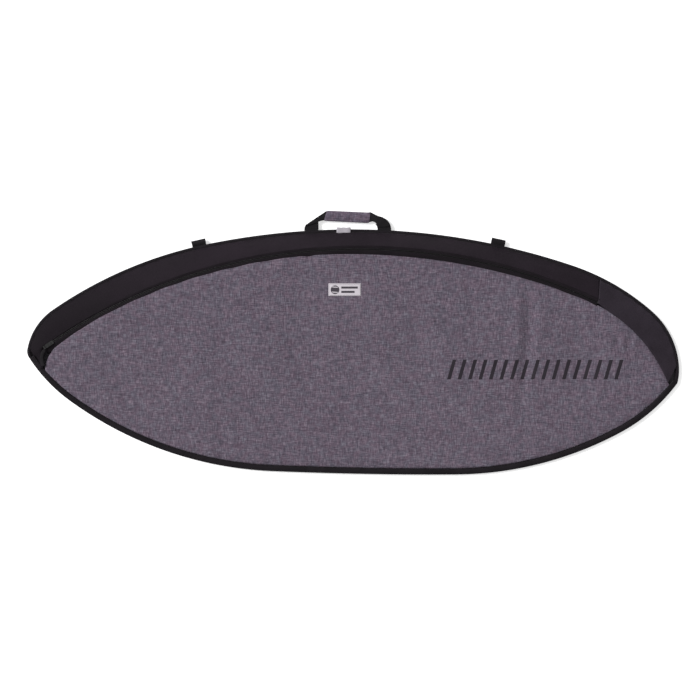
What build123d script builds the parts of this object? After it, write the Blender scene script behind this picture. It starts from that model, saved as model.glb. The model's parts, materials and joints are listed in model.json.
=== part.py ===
from build123d import *
from math import cos, degrees, radians, sin, sqrt
import os

# Padded surf board travel bag, lying face up on its back panel.
# +X runs from nose to tail, +Y towards the zipped edge, +Z up from the floor.
# The origin is on the underside of the back panel, in the middle of the bag.

# ---- driving dimensions, mm -------------------------------------------------------------
SKIN = 0.6            # outer fabric
FOAM = 4.0            # closed-cell padding
LINING = 0.4          # inner lining
PLY_GAP = 0.1         # air between two plies

CROWN = (-33.0, 315.2, 1.0)                    # highest point of the long top edge, heading
TOP_NOSE = [(1863, 10.8), (1073, 22.9), (156, 45.4)]
TOP_TAIL = [(1771, 19.7), (598, 22.7), (205, 44.7)]
KEEL = (100.0, -314.8, -0.7)                   # lowest point of the bottom edge, heading
LOW_NOSE = [(10410, 1.7), (951.5, 33.7), (410, 20.9)]
LOW_TAIL = [(7967, 1.2), (906, 27.8), (440, 25.4)]

FACE_CROWN = (-33.0, 249.7, 0.7)               # top of the grey face panel
FACE_NOSE = [(1330, 24.5), (950, 14.4)]
FACE_TAIL = [(1660, 22.0), (390, 46.6)]

DOME_R = 22500.0                               # the face panel bulges as a very flat dome
DOME_TOP = (40.0, 1396.0, 78.3)                # where that dome would peak
BIND_TOP, BIND_LOW, BIND_BACK = 9.4, 15.0, 9.4  # binding widths
BIND_TOP_H, BIND_LOW_H, BIND_T = 12.0, 13.2, 0.9
SEAM_GAP = 0.2

ZIP_NOSE, ZIP_CROWN, ZIP_TAIL = (-779, 20), (17, 262), (612, 133.3)
COIL_IN, COIL_OUT, COIL_H = 0.7, 2.9, 2.2      # one coil row, measured from the zip line
TAPE_GUSSET, TAPE_FLAP, TAPE_T = 9.5, 20.0, 0.5
FLAP_SETBACK = 42.0                            # fold line ends short of the zip ends
FOLD_GAP = 0.15
ZIP_SPLIT = 16.0                               # the fixed zip ends run this far past the fold
TAPE_END = 12.0                                # and their tape is narrower
SLIDER_L, SLIDER_W = 25.0, 9.6

WEB_W, WEB_T = 38.0, 2.0                       # carry handle webbing
HINGE_Y, HINGE_Z = 316.8, 8.0                  # handle swings on the top seam
GRIP_T = 10.0
GRIP = [(-67, 364), (45, 359), (41, 331), (-75, 337)]
LOOP_W, LOOP_OUT, LOOP_H, LOOP_T = 36.0, 13.0, 9.2, 1.5

LABEL = (-21, 159, 83, 32, 3.0)                # middle, length, height, corner radius
TAG = (-42, -6, 306, 319)


# ---- outlines --------------------------------------------------------------------------
def run(start, heading, arcs, side, inset):
    """Chain of tangent arcs; side +1 turns left, -1 turns right, inset shrinks inwards."""
    h = radians(heading)
    x = start[0] - side * sin(h) * inset
    y = start[1] + side * cos(h) * inset
    edges = []
    for radius, sweep in arcs:
        arc = JernArc((x, y), (cos(h), sin(h)), radius - inset, side * sweep)
        edges.append(arc)
        x, y = (arc @ 1).X, (arc @ 1).Y
        h += side * radians(sweep)
    return edges


def top_to_nose(inset=0.0):
    return run(CROWN, 180 + CROWN[2], TOP_NOSE, 1, inset)


def top_to_tail(inset=0.0):
    return run(CROWN, CROWN[2], TOP_TAIL, -1, inset)


def low_to_nose(inset=0.0, trim=0.0):
    arcs = LOW_NOSE[:-1] + [(LOW_NOSE[-1][0], LOW_NOSE[-1][1] - trim)]
    return run(KEEL, 180 + KEEL[2], arcs, -1, inset)


def low_to_tail(inset=0.0, trim=0.0):
    arcs = LOW_TAIL[:-1] + [(LOW_TAIL[-1][0], LOW_TAIL[-1][1] - trim)]
    return run(KEEL, KEEL[2], arcs, 1, inset)


def body_face(top=0.0, low=0.0):
    """Plan of the whole bag, drawn in from its edge by top and low."""
    left, right = top_to_nose(top), top_to_tail(top)
    under_l, under_r = low_to_nose(low), low_to_tail(low)
    edges = left + right + under_l + under_r
    edges.append(TangentArc(left[-1] @ 1, under_l[-1] @ 1, tangent=left[-1] % 1))
    edges.append(TangentArc(right[-1] @ 1, under_r[-1] @ 1, tangent=right[-1] % 1))
    return make_face(edges)


def face_to_nose(inset=0.0):
    return run(FACE_CROWN, 180 + FACE_CROWN[2], FACE_NOSE, 1, inset)


def face_to_tail(inset=0.0):
    return run(FACE_CROWN, FACE_CROWN[2], FACE_TAIL, -1, inset)


def panel_face(inset=0.0):
    """Plan of the grey face panel."""
    left, right = face_to_nose(inset), face_to_tail(inset)
    base = BIND_LOW + SEAM_GAP + inset
    under_l, under_r = low_to_nose(base, 8.6), low_to_tail(base, 2.3)
    nose_a, nose_b = left[-1] @ 1, under_l[-1] @ 1
    bulge = (nose_a + nose_b) * 0.5 - Vector(3.0, 0, 0)
    edges = left + right + under_l + under_r
    edges.append(ThreePointArc(nose_a, bulge, nose_b))
    edges.append(Line(right[-1] @ 1, under_r[-1] @ 1))
    return make_face(edges)


# ---- the dome and the zip plane --------------------------------------------------------
DOME_C = Vector(DOME_TOP[0], DOME_TOP[1], DOME_TOP[2] - DOME_R)


def dome_z(x, y, depth=0.0):
    r = DOME_R - depth
    return DOME_C.Z + sqrt(r * r - (x - DOME_C.X) ** 2 - (y - DOME_C.Y) ** 2)


def on_dome(p):
    return Vector(p[0], p[1], dome_z(p[0], p[1]))


A, B, C = on_dome(ZIP_NOSE), on_dome(ZIP_CROWN), on_dome(ZIP_TAIL)
ZIP_N = (C - A).cross(B - A).normalized()
ZIP_C = DOME_C + ZIP_N * (A - DOME_C).dot(ZIP_N)
ZIP_R = (A - ZIP_C).length
ZIP = Plane(origin=ZIP_C, x_dir=(B - ZIP_C).normalized(), z_dir=ZIP_N)
NOSE_A = ZIP.x_dir.get_signed_angle(A - ZIP_C, ZIP_N)
TAIL_A = ZIP.x_dir.get_signed_angle(C - ZIP_C, ZIP_N)
MM = degrees(1.0 / ZIP_R)                       # one millimetre along the zip, in degrees


def zip_point(angle, r=0.0, w=0.0):
    """Point r outside the zip line and w above its plane."""
    a = radians(angle)
    reach = ZIP_R + r
    return ZIP.from_local_coords(Vector(reach * cos(a), reach * sin(a), w))


FOLD_A, FOLD_B = NOSE_A - FLAP_SETBACK * MM, TAIL_A + FLAP_SETBACK * MM
P, Q = zip_point(FOLD_A), zip_point(FOLD_B)
FOLD_UP = ((P + Q) * 0.5 - DOME_C).normalized()
FOLD_O = DOME_C + FOLD_UP * DOME_R              # touches the dome above the fold's middle
FOLD = Plane(origin=FOLD_O, x_dir=(Q - P).normalized(), z_dir=FOLD_UP)


def flap_side(shape, shift=0.0):
    """What swings with the flap: all that lies beyond the fold line, moved out by shift."""
    return shape & (FOLD * Pos(0, 400 + shift + FOLD_GAP, 0) * Box(2400, 800, 200))


def root_side(shape, shift=0.0):
    return shape & (FOLD * Pos(0, shift - 600 - FOLD_GAP, 0) * Box(2400, 1200, 200))


def ball(depth):
    return Pos(DOME_C.X, DOME_C.Y, DOME_C.Z) * Sphere(DOME_R - depth)


def skin_of(column, top, bottom):
    """The part of an upright column lying between two depths under the dome."""
    return (column & ball(top)) - ball(bottom)


def column(face, height=70.0):
    return extrude(face, height, dir=(0, 0, 1))


def sector(r_in, r_out, w_lo, w_hi, a_from, a_to):
    """Flat arc-shaped bar following the zip, radii measured from the zip line."""
    inner = CenterArc((0, 0), ZIP_R + r_in, a_from, a_to - a_from)
    outer = CenterArc((0, 0), ZIP_R + r_out, a_from, a_to - a_from)
    ends = [Line(inner @ 0, outer @ 0), Line(inner @ 1, outer @ 1)]
    face = make_face([inner, outer] + ends)
    return ZIP * (Pos(0, 0, w_lo) * extrude(face, w_hi - w_lo, dir=(0, 0, 1)))


# ---- back panel and bindings -----------------------------------------------------------
def flat_ply(face, z, thick):
    return Pos(0, 0, z) * extrude(face, thick, dir=(0, 0, 1))


def back_outer():
    inset = BIND_BACK + SEAM_GAP
    return flat_ply(body_face(inset, inset), 0, SKIN)


def back_foam():
    return flat_ply(body_face(1.3, 1.3), SKIN + PLY_GAP, FOAM)


def back_lining():
    return flat_ply(body_face(1.3, 1.3), SKIN + FOAM + 2 * PLY_GAP, LINING)


def above_tips(shape, sign):
    """Keep the top-edge half (+1) or the bottom-edge half (-1), split at nose and tail."""
    line = Plane(origin=(0, -33, 0), x_dir=(1, -0.034, 0), z_dir=(0, 0, 1))
    return shape & (line * Pos(0, sign * 400.1, 0) * Box(2400, 800, 100))


def binding(width, height, sign):
    """Folded tape: web round the edge, one lip on the back, one on the front."""
    rim = body_face() - body_face(BIND_T, BIND_T)
    back_lip = body_face() - body_face(BIND_BACK, BIND_BACK)
    front_lip = body_face() - body_face(width, width)
    shape = flat_ply(rim, 0.05, height - 0.05)
    shape += flat_ply(back_lip, 0.05, SKIN - 0.05)
    shape += flat_ply(front_lip, height - SKIN, SKIN)
    return above_tips(shape, sign)


# ---- face panel ------------------------------------------------------------------------
def zip_clear(shape):
    """Padding and lining stop short of the zip tape."""
    disc = ZIP * Cylinder(ZIP_R - TAPE_FLAP - 0.5, 400)
    return shape & disc


def face_outer():
    return skin_of(column(panel_face()), 0, SKIN)


def face_foam():
    top = SKIN + PLY_GAP
    return zip_clear(skin_of(column(panel_face(7.0)), top, top + FOAM))


def face_lining():
    top = SKIN + FOAM + 2 * PLY_GAP
    return zip_clear(skin_of(column(panel_face(7.0)), top, top + LINING))


# ---- zip -------------------------------------------------------------------------------
COIL_MID = -(SKIN + PLY_GAP + TAPE_T / 2)


def coil(side, a_from, a_to):
    r = sorted([side * COIL_IN, side * COIL_OUT])
    return sector(r[0], r[1], COIL_MID - COIL_H / 2, COIL_MID + COIL_H / 2, a_from, a_to)


def tape(side, a_from, a_to, width):
    r = sorted([side * (COIL_OUT + 0.15), side * width])
    bar = sector(r[0], r[1], -20, 20, a_from, a_to)
    top = SKIN + PLY_GAP
    return skin_of(bar, top, top + TAPE_T)


ZIP_FROM = TAIL_A - (SLIDER_L / 2 + 5) * MM
ZIP_TO = NOSE_A + (SLIDER_L / 2 + 5) * MM


def zip_stop(angle):
    a = angle - 1.2 * MM, angle + 1.2 * MM
    return sector(-COIL_OUT, COIL_OUT, COIL_MID + COIL_H / 2 + 0.1, COIL_MID + COIL_H / 2 + 1.3, *a)


def hook_arc(offset):
    """Plan line of the short zip return that curls round the nose."""
    a, b, c = Vector(-791.5, 1.5), Vector(-797.5, -18), Vector(-800.5, -42)
    push = Vector(-offset, 0.25 * offset)
    return ThreePointArc(a + push, b + push, c + push)


def nose_return():
    inner, outer = hook_arc(-4.0), hook_arc(4.0)
    face = make_face([inner, outer, Line(inner @ 0, outer @ 0), Line(inner @ 1, outer @ 1)])
    return skin_of(column(face), SKIN + PLY_GAP, SKIN + PLY_GAP + TAPE_T)


SLIDE = Plane(
    origin=zip_point(NOSE_A),
    x_dir=ZIP.from_local_coords(Vector(-sin(radians(NOSE_A)), cos(radians(NOSE_A)), 0)) - ZIP_C,
    z_dir=ZIP_N,
)                                               # x towards the nose, y inwards, z up


def slab(x, y, z):
    """Box from three (low, high) ranges."""
    size = [b - a for a, b in (x, y, z)]
    mid = [(a + b) / 2 for a, b in (x, y, z)]
    return Pos(*mid) * Box(*size)


PLATE_Z = COIL_MID + COIL_H / 2 + 0.3
KEEL_Z = COIL_MID - COIL_H / 2 - 0.3
BAR_X, BAR_Z, BAR_R = 3.0, PLATE_Z + 1.2 + 1.5, 0.9


def slider_body():
    half, w = SLIDER_L / 2, SLIDER_W / 2
    top = slab((-half, half), (-w, w), (PLATE_Z, PLATE_Z + 1.2))
    top = fillet(top.edges().filter_by(Axis.Z), 3.6)
    low = slab((-half, half), (-w, w), (KEEL_Z - 1.0, KEEL_Z))
    low = fillet(low.edges().filter_by(Axis.Z), 3.6)
    body = top + low + slab((4, 11), (-0.35, 0.35), (KEEL_Z, PLATE_Z))
    for s in (-1, 1):
        y = sorted((s * (w - 0.8), s * w))
        body += slab((-half + 4, half - 4), y, (PLATE_Z - 0.5, PLATE_Z))
        body += slab((-half + 4, half - 4), y, (KEEL_Z, KEEL_Z + 0.5))
    z = PLATE_Z + 1.2
    arch = slab((-6, 6), (-1.5, 1.5), (z, z + 4.3)) - slab((-4.6, 4.6), (-2, 2), (z, z + 3.0))
    arch = fillet(arch.edges().filter_by(Axis.Y).sort_by(Axis.Z)[-2:], 1.2)
    return SLIDE * (body + arch)


def pull_frame():
    bar = Pos(BAR_X, 0, BAR_Z) * Rot(90, 0, 0) * Cylinder(BAR_R, 7.4)
    arms = bar
    for s in (-1, 1):
        y = sorted((s * 2.2, s * 3.7))
        arms += slab((BAR_X, BAR_X + 12), y, (BAR_Z - 0.8, BAR_Z + 1.0))
    arms += slab((BAR_X + 10.4, BAR_X + 14), (-4.4, 4.4), (BAR_Z - 0.6, BAR_Z + 1.4))
    return SLIDE * arms


def pull_ribbon():
    """Ribbon tail, hanging away from the slider and curling towards the lower edge."""
    x0 = BAR_X + 14.7
    mid = TangentArc((x0, 0), (x0 + 30, 27), tangent=(1, 0.1))
    path = [mid @ t for t in (0, 0.5, 1)]
    side = []
    for t, p in zip((0, 0.5, 1), path):
        d = (mid % t).rotate(Axis.Z, 90) * 4.2
        side.append((p + d, p - d))
    left = ThreePointArc(*[s[0] for s in side])
    right = ThreePointArc(*[s[1] for s in side])
    face = make_face([left, right, Line(left @ 0, right @ 0), Line(left @ 1, right @ 1)])
    return SLIDE * (Pos(0, 0, BAR_Z + 0.1) * extrude(face, 1.2, dir=(0, 0, 1)))


# ---- gusset ----------------------------------------------------------------------------
def strip(rail_in, rail_out, thick=1.0):
    """Ruled band between two rails of the same number of points."""
    drop = Vector(0, 0, -thick)
    sections = [Wire.make_polygon([a, b, b + drop, a + drop], close=True)
                for a, b in zip(rail_in, rail_out)]
    return Solid.make_loft(sections, ruled=True)


def along(edges, t):
    """Point at length fraction t of a run of edges."""
    total = sum(e.length for e in edges)
    left = t * total
    for e in edges:
        if left <= e.length or e is edges[-1]:
            return e @ min(1.0, left / e.length)
        left -= e.length


def rim_point(p):
    return Vector(p.X, p.Y, BIND_TOP_H)


GUSSET_CUT_X = 634.0


def gusset_zip_section():
    """Woven band from the nose, along the zip, to the tail overlap."""
    rim = BIND_TOP + SEAM_GAP
    nose, tail = top_to_nose(rim), top_to_tail(rim)
    reach = sum(e.length for e in tail)
    stop = 0.0
    while (along(tail, stop) or Vector()).X < GUSSET_CUT_X:
        stop += 1.0 / reach
    inner = [zip_point(ZIP_FROM + 0.2 * MM, 6.5, -1.75)]
    outer = [rim_point(along(tail, stop))]
    for k in range(1, 10):
        t = k / 10
        inner.append(zip_point(ZIP_FROM * (1 - t), 6.5, -1.75))
        outer.append(rim_point(along(tail, stop * (1 - t))))
    for k in range(15):
        t = k / 14
        inner.append(zip_point(ZIP_TO * t, 6.5, -1.75))
        outer.append(rim_point(along(nose, 0.95 * t)))
    hook = hook_arc(3.0)
    low = low_to_nose(BIND_LOW + SEAM_GAP)[-1]
    turn = [nose[-1] @ 1, low @ 1 + Vector(1.5, 4.5), low @ 0.92, low @ 0.84]
    for t, q in zip((0.15, 0.35, 0.55, 0.7), turn):
        p = hook @ t
        inner.append(Vector(p.X, p.Y, dome_z(p.X, p.Y) - 1.4))
        outer.append(rim_point(q))
    return strip(inner, outer)


def gusset_tail_section():
    """Plain band round the tail, sewn straight to the face panel."""
    rim = BIND_TOP + SEAM_GAP
    tail = top_to_tail(rim)
    face = face_to_tail(2.0)
    inner, outer = [], []
    fa = next(t / 400 for t in range(401) if along(face, t / 400).X > GUSSET_CUT_X + 1.5)
    ra = next(t / 400 for t in range(401) if along(tail, t / 400).X > GUSSET_CUT_X + 1.5)
    for k in range(11):
        t = k / 10
        p = along(face, fa + (0.985 - fa) * t)
        inner.append(Vector(p.X, p.Y, dome_z(p.X, p.Y) - 0.9))
        outer.append(rim_point(along(tail, ra + (1 - ra) * t)))
    return strip(inner, outer)


# ---- trim ------------------------------------------------------------------------------
def label():
    x, y, w, h, r = LABEL
    face = Pos(x, y) * RectangleRounded(w, h, r)
    return skin_of(column(face), -0.9, -0.05)


def graphic():
    """Row of slanted printed bars standing in for the printed mark."""
    bars = None
    for k in range(17):
        x = 250 + k * 26.8
        quad = Polyline((x - 9, -70), (x, -70), (x + 14, -20), (x + 5, -20), close=True)
        bar = skin_of(column(make_face(quad)), -0.3, -0.05)
        bars = bar if bars is None else bars + bar
    return bars


def seam_tag():
    x0, x1, y0, y1 = TAG
    z = BIND_TOP_H + 0.1
    return slab((x0, x1), (y0, y1), (z, z + 1.2))


def anchor(x, y, angle, width):
    """Sewn-in end of a webbing, flat on the lining inside the bag."""
    z = SKIN + FOAM + LINING + 3 * PLY_GAP
    return Pos(x, y, z + 0.6) * Rot(0, 0, angle) * Pos(0, -18, 0) * Box(width, 24, 1.2)


# ---- carry handle ----------------------------------------------------------------------
def handle_webbing():
    """Two legs out of the seam, each turned in towards the grip, and the core within it."""
    y0 = HINGE_Y + 0.3
    left = Polyline((-125, y0), (-87, y0), (-87, 323), (-76, 338.5), (-69, 362.5),
                    (-83, 362), (-125, 324), close=True)
    arc_out = ThreePointArc((47, 357.5), (82, 345), (100, y0))
    arc_in = ThreePointArc((43, 332.5), (57, 328), (62, y0))
    right = make_face([arc_out, arc_in, Line(arc_out @ 0, arc_in @ 0),
                       Line(arc_out @ 1, arc_in @ 1)])
    core = make_face(Polyline((-77, 341), (-73, 359.5), (48, 354.4), (46, 336), close=True))
    face = make_face(left) + right + core
    return flat_ply(face, HINGE_Z - WEB_T / 2, WEB_T)


def handle_grip():
    sheet = make_face(Polyline(*GRIP, close=True))
    wrap = flat_ply(sheet, HINGE_Z - GRIP_T / 2, GRIP_T)
    long_edges = wrap.edges().filter_by(lambda e: e.length > 60)
    wrap = fillet(long_edges, 4.6)
    slot = make_face(Polyline((-90, 340.6), (-88, 361.6), (60, 355.1), (59, 334), close=True))
    return wrap - flat_ply(slot, HINGE_Z - WEB_T / 2 - 0.1, WEB_T + 0.2)


# ---- strap loops -----------------------------------------------------------------------
def loop_frame(side):
    """Point on the top edge where a strap loop leaves the seam, x along the edge."""
    chain = top_to_nose() if side < 0 else top_to_tail()
    x_at = -395 if side < 0 else 372
    t = next(k / 2000 for k in range(2001) if abs(along(chain, k / 2000).X) > abs(x_at))
    p = along(chain, t)
    q = along(chain, t + 0.002)
    d = (q - p).normalized() * (1 if side > 0 else -1)
    return Plane(origin=(p.X, p.Y, HINGE_Z), x_dir=d, z_dir=(0, 0, 1))


def strap_loop(side):
    """Webbing doubled back on itself, both ends pinched together in the seam."""
    h, root = LOOP_H / 2, LOOP_T + 0.1
    end = LOOP_OUT + 1.4
    outline = [(2.2, -root), (5.0, -h), (end - h, -h), (end, 0), (end - h, h), (5.0, h), (2.2, root)]
    flat = Polyline(outline[0], outline[1], outline[2])
    bend = ThreePointArc(*outline[2:5])
    back = Polyline(outline[4], outline[5], outline[6])
    face = make_face([flat, bend, back, Line(outline[6], outline[0])])
    band = face - offset(face, -LOOP_T, kind=Kind.INTERSECTION)
    stood = Plane(origin=(-LOOP_W / 2, 0, 0), x_dir=(0, 1, 0), z_dir=(1, 0, 0))
    return loop_frame(side) * (stood * extrude(band, LOOP_W, dir=(0, 0, 1)))


def write(name, shape):
    shape.label = name
    export_step(shape, f"parts/{name}.step")
    b = shape.bounding_box()
    print(f"{name:24s} vol {shape.volume:12.1f}  z {b.min.Z:7.2f} {b.max.Z:7.2f}")


def main():
    os.makedirs("parts", exist_ok=True)
    write("back_outer", back_outer())
    write("back_foam", back_foam())
    write("back_lining", back_lining())
    write("binding_top", binding(BIND_TOP, BIND_TOP_H, 1))
    write("binding_bottom", binding(BIND_LOW, BIND_LOW_H, -1))
    outer, foam, lining = face_outer(), face_foam(), face_lining()
    write("front_outer", root_side(outer))
    write("flap_outer", flap_side(outer))
    write("front_foam", root_side(foam))
    write("flap_foam", flap_side(foam))
    write("front_lining", root_side(lining))
    write("flap_lining", flap_side(lining))
    write("gusset_zip_section", gusset_zip_section())
    write("gusset_tail_section", gusset_tail_section())
    write("zip_tape_gusset", tape(1, ZIP_FROM, ZIP_TO, TAPE_GUSSET))
    write("zip_coil_gusset", coil(1, ZIP_FROM, ZIP_TO))
    write("zip_tape_flap", flap_side(tape(-1, ZIP_FROM, ZIP_TO, TAPE_FLAP), ZIP_SPLIT))
    write("zip_coil_flap", flap_side(coil(-1, ZIP_FROM, ZIP_TO), ZIP_SPLIT))
    mid = (NOSE_A + TAIL_A) / 2
    for end, a_from, a_to in (("nose", mid, ZIP_TO), ("tail", ZIP_FROM, mid)):
        write(f"zip_tape_{end}_end", root_side(tape(-1, a_from, a_to, TAPE_END), ZIP_SPLIT))
        write(f"zip_coil_{end}_end", root_side(coil(-1, a_from, a_to), ZIP_SPLIT))
    write("zip_stop_nose", zip_stop(ZIP_TO - 2.5 * MM))
    write("zip_stop_tail", zip_stop(ZIP_FROM + 2.5 * MM))
    write("zip_nose_return", nose_return())
    write("zip_slider", slider_body())
    write("zip_pull_frame", pull_frame())
    write("zip_pull_ribbon", pull_ribbon())
    write("front_label", label())
    write("front_graphic", graphic())
    write("seam_tag", seam_tag())
    write("handle_webbing", handle_webbing())
    write("handle_grip", handle_grip())
    write("handle_anchor_left", anchor(-106, 312, 1, WEB_W))
    write("handle_anchor_right", anchor(81, 310, -2, WEB_W))
    write("strap_loop_left", strap_loop(-1))
    write("strap_loop_right", strap_loop(1))


main()
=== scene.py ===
import json
import math

import bpy
from mathutils import Matrix, Vector, noise


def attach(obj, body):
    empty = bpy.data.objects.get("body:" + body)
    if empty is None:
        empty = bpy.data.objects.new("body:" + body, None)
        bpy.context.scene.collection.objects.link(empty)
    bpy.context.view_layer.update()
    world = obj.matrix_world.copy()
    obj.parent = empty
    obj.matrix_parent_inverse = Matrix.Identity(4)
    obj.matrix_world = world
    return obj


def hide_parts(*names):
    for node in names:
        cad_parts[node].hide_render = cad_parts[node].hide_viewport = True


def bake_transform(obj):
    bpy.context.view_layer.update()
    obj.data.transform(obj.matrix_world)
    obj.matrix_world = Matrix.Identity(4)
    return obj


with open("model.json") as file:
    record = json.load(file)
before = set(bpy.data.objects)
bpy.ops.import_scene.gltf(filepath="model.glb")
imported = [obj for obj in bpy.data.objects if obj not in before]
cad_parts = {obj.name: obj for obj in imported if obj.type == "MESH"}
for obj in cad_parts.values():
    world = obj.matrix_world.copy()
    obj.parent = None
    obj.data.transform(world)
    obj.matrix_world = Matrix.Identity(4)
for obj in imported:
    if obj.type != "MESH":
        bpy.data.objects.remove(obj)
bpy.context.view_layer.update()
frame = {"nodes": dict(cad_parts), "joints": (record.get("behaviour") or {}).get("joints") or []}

MM = 0.001

# ---- outlines of the bag, mm, as in the CAD ---------------------------------------------
CROWN = (-33.0, 315.2, 1.0)
TOP_NOSE = [(1863, 10.8), (1073, 22.9), (156, 45.4)]
TOP_TAIL = [(1771, 19.7), (598, 22.7), (205, 44.7)]
KEEL = (100.0, -314.8, -0.7)
LOW_NOSE = [(10410, 1.7), (951.5, 33.7), (410, 20.9)]
LOW_TAIL = [(7967, 1.2), (906, 27.8), (440, 25.4)]
FACE_CROWN = (-33.0, 249.7, 0.7)
FACE_NOSE = [(1330, 24.5), (950, 14.4)]
FACE_TAIL = [(1660, 22.0), (390, 46.6)]
DOME_R = 22500.0
DOME_C = Vector((40.0, 1396.0, 78.3 - DOME_R))
BIND_TOP, BIND_LOW = 9.4, 15.0
BIND_TOP_H, BIND_LOW_H = 12.0, 13.2
TAIL_CUT_X = 634.0


def run(start, heading, arcs, side, inset=0.0, step=4.0):
    """Points along a chain of tangent arcs; side +1 turns left, -1 right."""
    h = math.radians(heading)
    x = start[0] - side * math.sin(h) * inset
    y = start[1] + side * math.cos(h) * inset
    points = [Vector((x, y))]
    for radius, sweep in arcs:
        r, turn = radius - inset, math.radians(sweep)
        cx, cy = x - side * math.sin(h) * r, y + side * math.cos(h) * r
        n = max(2, int(r * turn / step))
        for k in range(1, n + 1):
            a = h + side * turn * k / n
            points.append(Vector((cx + side * math.sin(a) * r, cy - side * math.cos(a) * r)))
        x, y = points[-1]
        h += side * turn
    return points


def resample(points, n):
    """n + 1 points evenly spaced along a polyline."""
    lengths = [0.0]
    for a, b in zip(points, points[1:]):
        lengths.append(lengths[-1] + (b - a).length)
    out, k = [], 0
    for i in range(n + 1):
        target = lengths[-1] * i / n
        while k < len(points) - 2 and lengths[k + 1] < target:
            k += 1
        span = max(1e-9, lengths[k + 1] - lengths[k])
        out.append(points[k].lerp(points[k + 1], min(1.0, (target - lengths[k]) / span)))
    return out


def trim(arcs, cut):
    return arcs[:-1] + [(arcs[-1][0], arcs[-1][1] - cut)]


def top_edge(inset=0.0):
    """Whole top edge, nose to tail."""
    left = run(CROWN, 180 + CROWN[2], TOP_NOSE, 1, inset)
    return left[::-1] + run(CROWN, CROWN[2], TOP_TAIL, -1, inset)[1:]


def low_edge(inset=0.0, nose=0.0, tail=0.0):
    """Whole bottom edge, nose to tail, cut short by so many degrees at each end."""
    left = run(KEEL, 180 + KEEL[2], trim(LOW_NOSE, nose), -1, inset)
    return left[::-1] + run(KEEL, KEEL[2], trim(LOW_TAIL, tail), 1, inset)[1:]


def cap(p, heading, q, n=8):
    """Points of the arc that leaves p in the given direction and ends at q."""
    normal = Vector((-math.sin(heading), math.cos(heading)))
    chord = q - p
    r = chord.length_squared / (2 * chord.dot(normal))
    centre = p + normal * r
    a, b = p - centre, q - centre
    turn = math.atan2(a.x * b.y - a.y * b.x, a.dot(b))
    return [centre + Matrix.Rotation(turn * k / n, 2) @ a for k in range(1, n)]


def whole_top(inset=0.0):
    """Top edge with the small round at each tip."""
    rail, low = top_edge(inset), low_edge(inset)
    nose = cap(rail[0], math.radians(260.1 + CROWN[2] - 1.0), low[0])
    tail = cap(rail[-1], math.radians(CROWN[2] - 87.1), low[-1])
    return low[3:0:-1] + [low[0]] + nose[::-1] + rail + tail + [low[-1], low[-2], low[-3], low[-4]]


def face_top(inset=0.0):
    left = run(FACE_CROWN, 180 + FACE_CROWN[2], FACE_NOSE, 1, inset)
    return left[::-1] + run(FACE_CROWN, FACE_CROWN[2], FACE_TAIL, -1, inset)[1:]


def dome(x, y):
    return DOME_C.z + math.sqrt(DOME_R ** 2 - (x - DOME_C.x) ** 2 - (y - DOME_C.y) ** 2)


# ---- the zip circle, from the slider's hinge --------------------------------------------
joints = {j["name"]: j for j in frame["joints"]}
slide = joints["zip_slider_travel"]
ZIP_C, ZIP_N = Vector(slide["pos_m"]) / MM, Vector(slide["axis"]).normalized()
nose_mark = Vector((-779, 20, dome(-779, 20)))
crown_mark = Vector((17, 262, dome(17, 262)))
ZIP_R = (nose_mark - ZIP_C).length
ZIP_X = (crown_mark - ZIP_C).normalized()
ZIP_Y = ZIP_N.cross(ZIP_X)
ZIP_ARC = 1000.0 / ZIP_R * MM                   # radians in one millimetre


def zip_angle(p):
    d = p - ZIP_C
    return math.atan2(d.dot(ZIP_Y), d.dot(ZIP_X))


def zip_point(angle, r=0.0, w=0.0):
    reach = ZIP_R + r
    return ZIP_C + (ZIP_X * math.cos(angle) + ZIP_Y * math.sin(angle)) * reach + ZIP_N * w


NOSE_A = zip_angle(nose_mark)
TAIL_A = zip_angle(Vector((612, 133.3, dome(612, 133.3))))
ZIP_FROM, ZIP_TO = TAIL_A - 17.5 * ZIP_ARC, NOSE_A + 17.5 * ZIP_ARC


# ---- meshes -----------------------------------------------------------------------------
def link(mesh, name):
    obj = bpy.data.objects.new(name, mesh)
    bpy.context.scene.collection.objects.link(obj)
    return obj


def grid(name, rows, closed=False, smooth=True):
    """Skin over rows of points in mm, with a UV map measured in metres."""
    n, m = len(rows), len(rows[0])
    verts = [tuple(p * MM) for row in rows for p in row]
    across = m if closed else m - 1
    faces, uvs = [], []
    u = [0.0]
    for a, b in zip(rows, rows[1:]):
        u.append(u[-1] + (b[m // 2] - a[m // 2]).length * MM)
    mid = rows[n // 2]
    v = [0.0]
    for j in range(across):
        v.append(v[-1] + (mid[(j + 1) % m] - mid[j]).length * MM)
    for i in range(n - 1):
        for j in range(across):
            k = (j + 1) % m
            faces.append((i * m + j, (i + 1) * m + j, (i + 1) * m + k, i * m + k))
            uvs += [(u[i], v[j]), (u[i + 1], v[j]), (u[i + 1], v[j + 1]), (u[i], v[j + 1])]
    mesh = bpy.data.meshes.new(name)
    mesh.from_pydata(verts, [], faces)
    layer = mesh.uv_layers.new(name="cloth")
    for loop, uv in zip(layer.data, uvs):
        loop.uv = uv
    mesh.polygons.foreach_set("use_smooth", [smooth] * len(mesh.polygons))
    mesh.update()
    return link(mesh, name)


def solid(name, verts, faces, smooth=False):
    mesh = bpy.data.meshes.new(name)
    mesh.from_pydata([tuple(Vector(v) * MM) for v in verts], [], faces)
    mesh.polygons.foreach_set("use_smooth", [smooth] * len(mesh.polygons))
    mesh.update()
    return link(mesh, name)


def thicken(obj, mm, offset=-1.0):
    mod = obj.modifiers.new("ply", "SOLIDIFY")
    mod.thickness, mod.offset, mod.use_even_offset = mm * MM, offset, False
    return obj


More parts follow.
